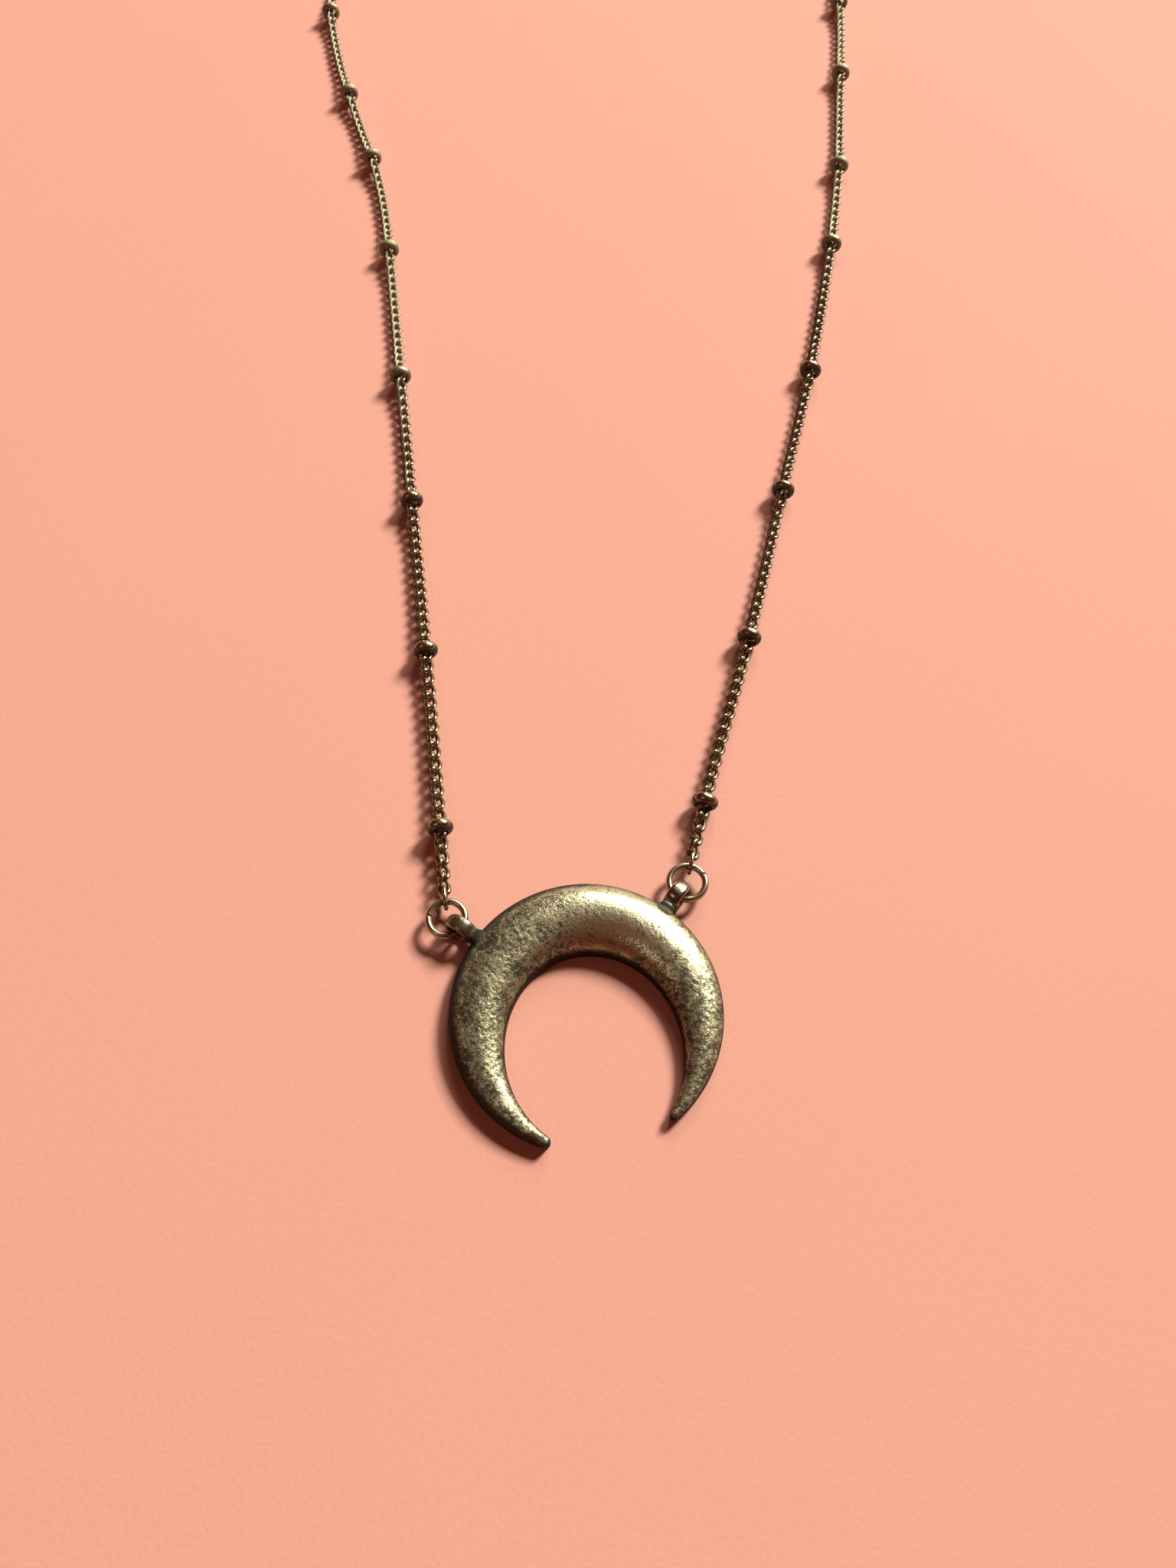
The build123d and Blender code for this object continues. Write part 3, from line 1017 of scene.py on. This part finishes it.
@dataclass
class Strand:
    """One strand of twisted curb chain, from the crescent's jump ring to the clasp's."""

    side: Side
    route: list[tuple[float, float]]
    rolls: list[tuple[float, float]]
    height: float = 1.42 * MM
    near_height: float = 1.2 * MM
    far_height: float = 0.92 * MM
    near_reach: float = 30 * MM
    far_reach: float = 50 * MM
    slope: float = 5 * MM
    support: float = 1.3 * MM
    end_support: float = 3 * MM
    climb_step: float = 1 * MM
    curb: LinkShape = LinkShape(
        half_width=0.53 * MM, wire_width=0.58 * MM, wire_height=0.4 * MM, twist=120.0
    )
    end: LinkShape = LinkShape(
        half_width=0.61 * MM, wire_width=0.44 * MM, wire_height=0.44 * MM, twist=0.0
    )
    pitch: float = 1.57 * MM
    first_link: float = 2.25 * MM
    upright: float = 90.0
    resolution: int = 48
    order: int = 3
    supports: list[float] = field(default_factory=list)

    def follow(self) -> None:
        """Reads the points of the smooth line that the strand lies along."""
        first = node_middle(f"jump_ring_{self.side.value}")
        last = node_middle(f"clasp_ring_{self.side.value}")
        bends = [Vector((x, y, self.height)) for x, y in self.route]
        line = bpy.data.curves.new(f"strand_line_{self.side.value}", "CURVE")
        line.dimensions = "3D"
        line.resolution_u = self.resolution
        spline = line.splines.new("NURBS")
        spline.points.add(len(bends) + 1)
        for point, bend in zip(spline.points, [first, *bends, last]):
            point.co = (*bend, 1.0)
        spline.order_u = self.order
        spline.use_endpoint_u = True
        holder = bpy.data.objects.new(line.name, line)
        data = bpy.data.meshes.new_from_object(holder)
        self.points = [vert.co.copy() for vert in data.vertices]
        bpy.data.objects.remove(holder)
        bpy.data.curves.remove(line)
        bpy.data.meshes.remove(data)
        self.reached = [0.0]
        for near, far in zip(self.points, self.points[1:]):
            self.reached.append(self.reached[-1] + (far - near).length)
        self.length = self.reached[-1]

    def at(self, distance: float) -> tuple[Vector, Vector]:
        """Place and direction at a distance along the line.

        Args:
            distance: Distance from the jump ring's middle, in metres.

        Returns:
            The point and the unit direction there.
        """
        number = min(max(bisect_left(self.reached, distance), 1), len(self.reached) - 1)
        near, far = self.points[number - 1], self.points[number]
        share = (distance - self.reached[number - 1]) / (far - near).length
        return near.lerp(far, share), (far - near).normalized()

    def nearest(self, place: Vector) -> float:
        """Distance along the line of its nearest point to a place."""
        gaps = [(point - place).length for point in self.points]
        return self.reached[gaps.index(min(gaps))]

    def sag(self, distance: float) -> float:
        """Height of the chain over the surface, between what holds it up.

        Args:
            distance: Distance along the line.

        Returns:
            The height of its middle.
        """
        gap = min(abs(distance - place) for place in self.supports)
        share = 1 - share_between(gap, self.support, self.support + self.slope)
        up = share_between(distance, self.near_reach, self.far_reach)
        rest = self.near_height + (self.far_height - self.near_height) * up
        return rest + (self.height - rest) * share * share * (3 - 2 * share)

    def roll(self, distance: float) -> float:
        """Turn of the links about the strand, from the table of turns.

        Args:
            distance: Distance along the line.

        Returns:
            The turn there, in degrees.
        """
        for (near, first), (far, second) in zip(self.rolls, self.rolls[1:]):
            if distance <= far:
                share = (distance - near) / (far - near)
                return first + (second - first) * share
        return self.rolls[-1][1]

    def stand(self, distance: float, roll: float) -> Matrix:
        """Where and how one link lies.

        Args:
            distance: Distance of its middle along the line.
            roll: Its turn about the strand, in degrees.

        Returns:
            The matrix that puts it there.
        """
        place, along = self.at(distance)
        place.z = self.sag(distance)
        half = self.climb_step / 2
        climb = (self.sag(distance + half) - self.sag(distance - half)) / self.climb_step
        along = (along + UP * climb).normalized()
        side = UP.cross(along).normalized()
        basis = Matrix((along, side, along.cross(side))).transposed().to_4x4()
        return Matrix.Translation(place) @ basis @ Matrix.Rotation(radians(roll), 4, "X")

    def build(self, material: bpy.types.Material, beads: list[str]) -> bpy.types.Object:
        """Builds the strand.

        Args:
            material: Its finish.
            beads: Names of the beads' nodes on it.

        Returns:
            The new piece.
        """
        self.follow()
        self.supports = [self.nearest(node_middle(bead)) for bead in beads]
        self.supports += [0.0, self.end_support, self.length - self.end_support, self.length]
        span = self.length - 2 * self.first_link
        gaps = ceil(span / self.pitch)
        curb = self.curb.mesh()
        end = self.end.mesh()
        mesh = bmesh.new()
        for number in range(gaps + 1):
            at_end = number in (0, gaps)
            distance = self.first_link + span * number / gaps
            stand = self.stand(distance, self.upright if at_end else self.roll(distance))
            before = len(mesh.verts)
            mesh.from_mesh(end if at_end else curb)
            mesh.verts.ensure_lookup_table()
            bmesh.ops.transform(mesh, matrix=stand, verts=mesh.verts[before:])
        side = self.side.value
        LOG.info("strand %s: %.1f mm, %d links", side, self.length / MM, gaps + 1)
        return finished_piece(f"chain_{side}_links", mesh, material, Slot.CHAIN, f"chain_{side}")


@dataclass
class StationBead:
    """Small rondelle bead that the chain runs through."""

    node: str
    diameter: float = 2.8 * MM
    length: float = 1.3 * MM
    end_diameter: float = 1.9 * MM
    bore: float = 1.66 * MM
    steps: int = 36
    belly_points: int = 12

    def build(self, strand: Strand, material: bpy.types.Material) -> bpy.types.Object:
        """Builds the bead on its strand.

        Args:
            strand: The strand that runs through it.
            material: Its finish.

        Returns:
            The new piece.
        """
        distance = strand.nearest(node_middle(self.node))
        place, along = strand.at(distance)
        half = self.length / 2
        rise = (self.diameter - self.end_diameter) / 2
        belly = (half**2 + rise**2) / (2 * rise)
        reach = asin(half / belly)
        profile = [(self.bore / 2, -half), (self.bore / 2, half)]
        for number in range(self.belly_points + 1):
            lean = reach * (1 - 2 * number / self.belly_points)
            out = self.diameter / 2 - belly * (1 - cos(lean))
            profile.append((out, belly * sin(lean)))
        mesh = bmesh.new()
        ring = add_outline(mesh, profile, place, UP, along)
        spin_round(mesh, ring + ring_edges(ring), place, along, self.steps)
        return finished_piece(f"{self.node}_rondelle", mesh, material, Slot.BEAD, self.node)


@dataclass
class BarrelClasp:
    """Barrel with a seam round its middle and an eye at each end."""

    node: str = "clasp"
    diameter: float = 2.7 * MM
    length: float = 7.0 * MM
    edge: float = 0.4 * MM
    seam_width: float = 0.25 * MM
    seam_depth: float = 0.15 * MM
    seam_edge: float = 0.04 * MM
    seam_bend: float = 0.3
    eye_bite: float = 0.3 * MM
    eye: EyeLoop = EyeLoop(hole=0.6 * MM, wall=0.4 * MM, width=0.6 * MM, points=14, steps=32)
    steps: int = 48
    edge_points: int = 6

    def profile(self) -> list[tuple[float, float]]:
        """Half outline of the barrel, from end to end.

        Returns:
            Its points, as distances from the barrel's axis and along it.
        """
        radius = self.diameter / 2
        half = [(0.0, self.length / 2)]
        for number in range(self.edge_points + 1):
            lean = pi / 2 * number / self.edge_points
            out = radius - self.edge * (1 - sin(lean))
            half.append((out, self.length / 2 - self.edge * (1 - cos(lean))))
        seam = self.seam_width / 2
        bend = self.seam_edge * self.seam_bend
        half += [
            (radius, seam + self.seam_edge),
            (radius - bend, seam + bend),
            (radius - self.seam_edge, seam),
            (radius - self.seam_depth, seam),
        ]
        return half + [(out, -onward) for out, onward in reversed(half)]

    def build(self, material: bpy.types.Material) -> bpy.types.Object:
        """Builds the clasp in its node's place.

        Args:
            material: Its finish.

        Returns:
            The new piece.
        """
        middle = node_middle(self.node)
        ends = [node_middle(f"clasp_ring_{side.value}") for side in Side]
        along = (ends[1] - ends[0]).normalized()
        mesh = bmesh.new()
        ring = add_outline(mesh, self.profile(), middle, UP, along)
        on_axis = [edge for edge in ring[0].link_edges if edge.other_vert(ring[0]) == ring[-1]]
        bmesh.ops.delete(mesh, geom=on_axis, context="EDGES")
        spin_round(mesh, ring + mesh.edges[:], middle, along, self.steps)
        reach = self.length / 2 + self.eye.hole + self.eye.wall - self.eye_bite
        for outward in (-along, along):
            self.eye.build(mesh, middle + outward * reach, outward)
        return finished_piece("clasp_barrel", mesh, material, Slot.CLASP, self.node)


@dataclass(frozen=True)
class Lamp:
    """One soft square light, its direction and distance as seen from the crescent."""

    name: str
    direction: Vector
    distance: float
    size: float
    power: float
    colour: tuple[float, float, float]

    def place(self) -> None:
        """Places the light, shining at the crescent."""
        light = bpy.data.lights.new(self.name, "AREA")
        light.shape = "SQUARE"
        light.size = self.size
        light.energy = self.power
        light.color = self.colour
        lamp = placed(self.name, light)
        lamp.location = self.direction.normalized() * self.distance
        lamp.rotation_euler = self.direction.to_track_quat("Z", "Y").to_euler()


COOL = (0.92, 1.0, 0.98)
WARM = (1.0, 0.98, 0.95)
KEY_LIGHT = Lamp(
    "key_light",
    direction=Vector((0.55, 0.62, 0.57)),
    distance=3.2,
    size=0.73,
    power=156.0,
    colour=COOL,
)
TOP_LIGHT = Lamp(
    "top_light",
    direction=Vector((0.2, 0.8, 0.48)),
    distance=3.2,
    size=1.2,
    power=30.0,
    colour=COOL,
)
SIDE_LIGHT = Lamp(
    "side_light",
    direction=Vector((-0.6, -0.3, 1.0)),
    distance=1.2,
    size=0.12,
    power=0.35,
    colour=WARM,
)


@dataclass
class Studio:
    """Paper, lights and camera."""

    camera_place: Vector = field(default_factory=lambda: Vector((2.13, -43.47, 111.89)) * MM)
    camera_target: Vector = field(default_factory=lambda: Vector((2.13, 16.02, 0.0)) * MM)
    lens: float = 27.04
    sensor: float = 36.0
    clip_start: float = 1 * MM
    paper_size: float = 3.0
    paper: Paper = Paper()
    lamps: tuple[Lamp, ...] = (KEY_LIGHT, TOP_LIGHT, SIDE_LIGHT)
    surroundings: Colour = (1.0, 0.22, 0.1, 1.0)
    surroundings_strength: float = 0.078

    def lay_paper(self) -> None:
        """Lays the paper under the necklace."""
        mesh = bmesh.new()
        bmesh.ops.create_grid(mesh, x_segments=1, y_segments=1, size=self.paper_size / 2)
        sheet = placed("paper", kept_mesh("paper", mesh))
        sheet.data.materials.append(self.paper.material())

    def light(self) -> None:
        """Adds the lights and the dim surroundings."""
        for lamp in self.lamps:
            lamp.place()
        world = bpy.data.worlds.new("surroundings")
        world.use_nodes = True
        background = world.node_tree.nodes["Background"]
        background.inputs["Color"].default_value = self.surroundings
        background.inputs["Strength"].default_value = self.surroundings_strength
        bpy.context.scene.world = world
        bpy.context.scene.view_settings.view_transform = "Standard"

    def place_camera(self) -> None:
        """Places the camera."""
        data = bpy.data.cameras.new("camera")
        data.lens = self.lens
        data.sensor_width = self.sensor
        data.clip_start = self.clip_start
        camera = placed("camera", data)
        camera.location = self.camera_place
        aim = self.camera_place - self.camera_target
        camera.rotation_euler = aim.to_track_quat("Z", "Y").to_euler()
        bpy.context.scene.camera = camera


# Direction of each ring's slit from the ring's middle.
RING_SLITS = {
    "jump_ring_left": Vector((-1.0, 0.1, 0.0)),
    "jump_ring_right": Vector((1.0, 0.5, 0.0)),
    "clasp_ring_left": Vector((0.1, 1.0, 0.0)),
    "clasp_ring_right": Vector((-0.1, 1.0, 0.0)),
}
# Bends of each strand's smooth line, x and y, from its jump ring to its clasp ring.
LEFT_ROUTE = [
    (-15.2 * MM, 25.5 * MM),
    (-19.9 * MM, 58.0 * MM),
    (-24.3 * MM, 90.0 * MM),
    (-27.6 * MM, 113.5 * MM),
    (-32.8 * MM, 129.5 * MM),
    (-37.4 * MM, 145.0 * MM),
    (-41.0 * MM, 163.5 * MM),
    (-37.5 * MM, 181.3 * MM),
    (-23.5 * MM, 193.3 * MM),
]
RIGHT_ROUTE = [
    (14.2 * MM, 12.9 * MM),
    (20.6 * MM, 34.1 * MM),
    (26.0 * MM, 56.2 * MM),
    (31.4 * MM, 76.8 * MM),
    (36.2 * MM, 100.0 * MM),
    (39.2 * MM, 118.0 * MM),
    (41.5 * MM, 140.0 * MM),
    (43.8 * MM, 160.5 * MM),
    (42.5 * MM, 180.0 * MM),
    (29.0 * MM, 193.5 * MM),
]
# Turns of each strand's links: distance from the jump ring's middle, and degrees.
LEFT_ROLLS = [
    (0.0, 60.0),
    (2.3 * MM, 60.0),
    (7.5 * MM, 16.0),
    (28 * MM, 0.0),
    (50 * MM, 12.0),
    (80 * MM, 4.0),
    (110 * MM, 0.0),
    (150 * MM, 12.0),
    (182 * MM, 14.0),
    (212 * MM, 120.0),
]
RIGHT_ROLLS = [
    (0.0, 60.0),
    (2.3 * MM, 60.0),
    (7.5 * MM, 10.0),
    (20 * MM, 5.0),
    (34 * MM, 24.0),
    (60 * MM, 44.0),
    (90 * MM, 14.0),
    (120 * MM, 0.0),
    (150 * MM, 26.0),
    (178 * MM, 14.0),
    (207 * MM, 120.0),
]


def main() -> None:
    """Builds the necklace piece by piece, then the studio round it."""
    logging.basicConfig(level=logging.INFO, format="%(name)s %(message)s")
    studio = Studio()
    studio.place_camera()
    Crescent().build()
    ring_brass = RING_FINISH.material()
    for node, outward in RING_SLITS.items():
        JumpRing(node, outward).build(ring_brass)
    chain_brass = CHAIN_FINISH.material()
    bead_brass = BEAD_FINISH.material()
    for side, route, rolls in (
        (Side.LEFT, LEFT_ROUTE, LEFT_ROLLS),
        (Side.RIGHT, RIGHT_ROUTE, RIGHT_ROLLS),
    ):
        start = f"station_bead_{side.value}"
        beads = sorted(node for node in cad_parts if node.startswith(start))
        strand = Strand(side, route, rolls)
        strand.build(chain_brass, beads)
        for bead in beads:
            StationBead(bead).build(strand, bead_brass)
    BarrelClasp().build(CLASP_FINISH.material())
    studio.lay_paper()
    studio.light()


if __name__ == "__main__":
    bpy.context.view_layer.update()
    main()
